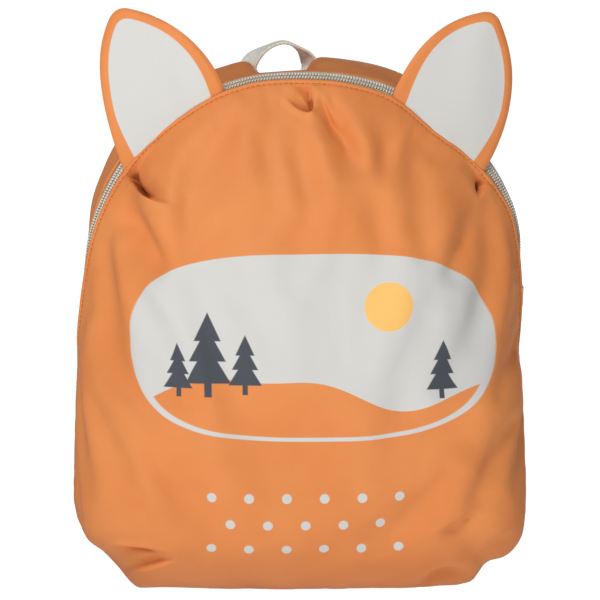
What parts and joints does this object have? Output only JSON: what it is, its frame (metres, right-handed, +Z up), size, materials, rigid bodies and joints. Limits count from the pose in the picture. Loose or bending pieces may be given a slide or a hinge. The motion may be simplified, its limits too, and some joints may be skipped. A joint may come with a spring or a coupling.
{
  "type": "kids backpack",
  "caption": "Small soft kids backpack with a boxed base, an arched zip opening, pointed ears, a webbing grab handle and padded shoulder straps.",
  "frame": {"origin": "on the floor, at the middle of the bag's flat base", "axes": "+X to the wearer's left as the bag's front is seen, on the picture's right; the front faces -Y; +Z up"},
  "size_m": [0.2101, 0.1285, 0.2686],
  "materials": {
    "orange_cloth": "smooth coated polyester with a soft sheen",
    "zip_tape": "woven beige tape",
    "zip_coil": "grey-brown nylon coil",
    "zip_slider": "satin plated",
    "grey_webbing": "woven webbing",
    "lock_plastic": "moulded, satin"
  },
  "bodies": {
    "root": {"front_panel": "orange_cloth", "gusset": "orange_cloth", "back_panel": "orange_cloth", "zip_tape_front": "zip_tape", "zip_tape_rear": "zip_tape", "zip_coil": "zip_coil", "zip_slider": "zip_slider", "grab_handle": "grey_webbing", "ear_left": "orange_cloth", "ear_right": "orange_cloth", "strap_pad_left": "orange_cloth", "strap_pad_right": "orange_cloth", "ladder_lock_left": "lock_plastic", "ladder_lock_right": "lock_plastic", "strap_webbing_left": "grey_webbing", "strap_webbing_right": "grey_webbing"}
  },
  "joints": []
}
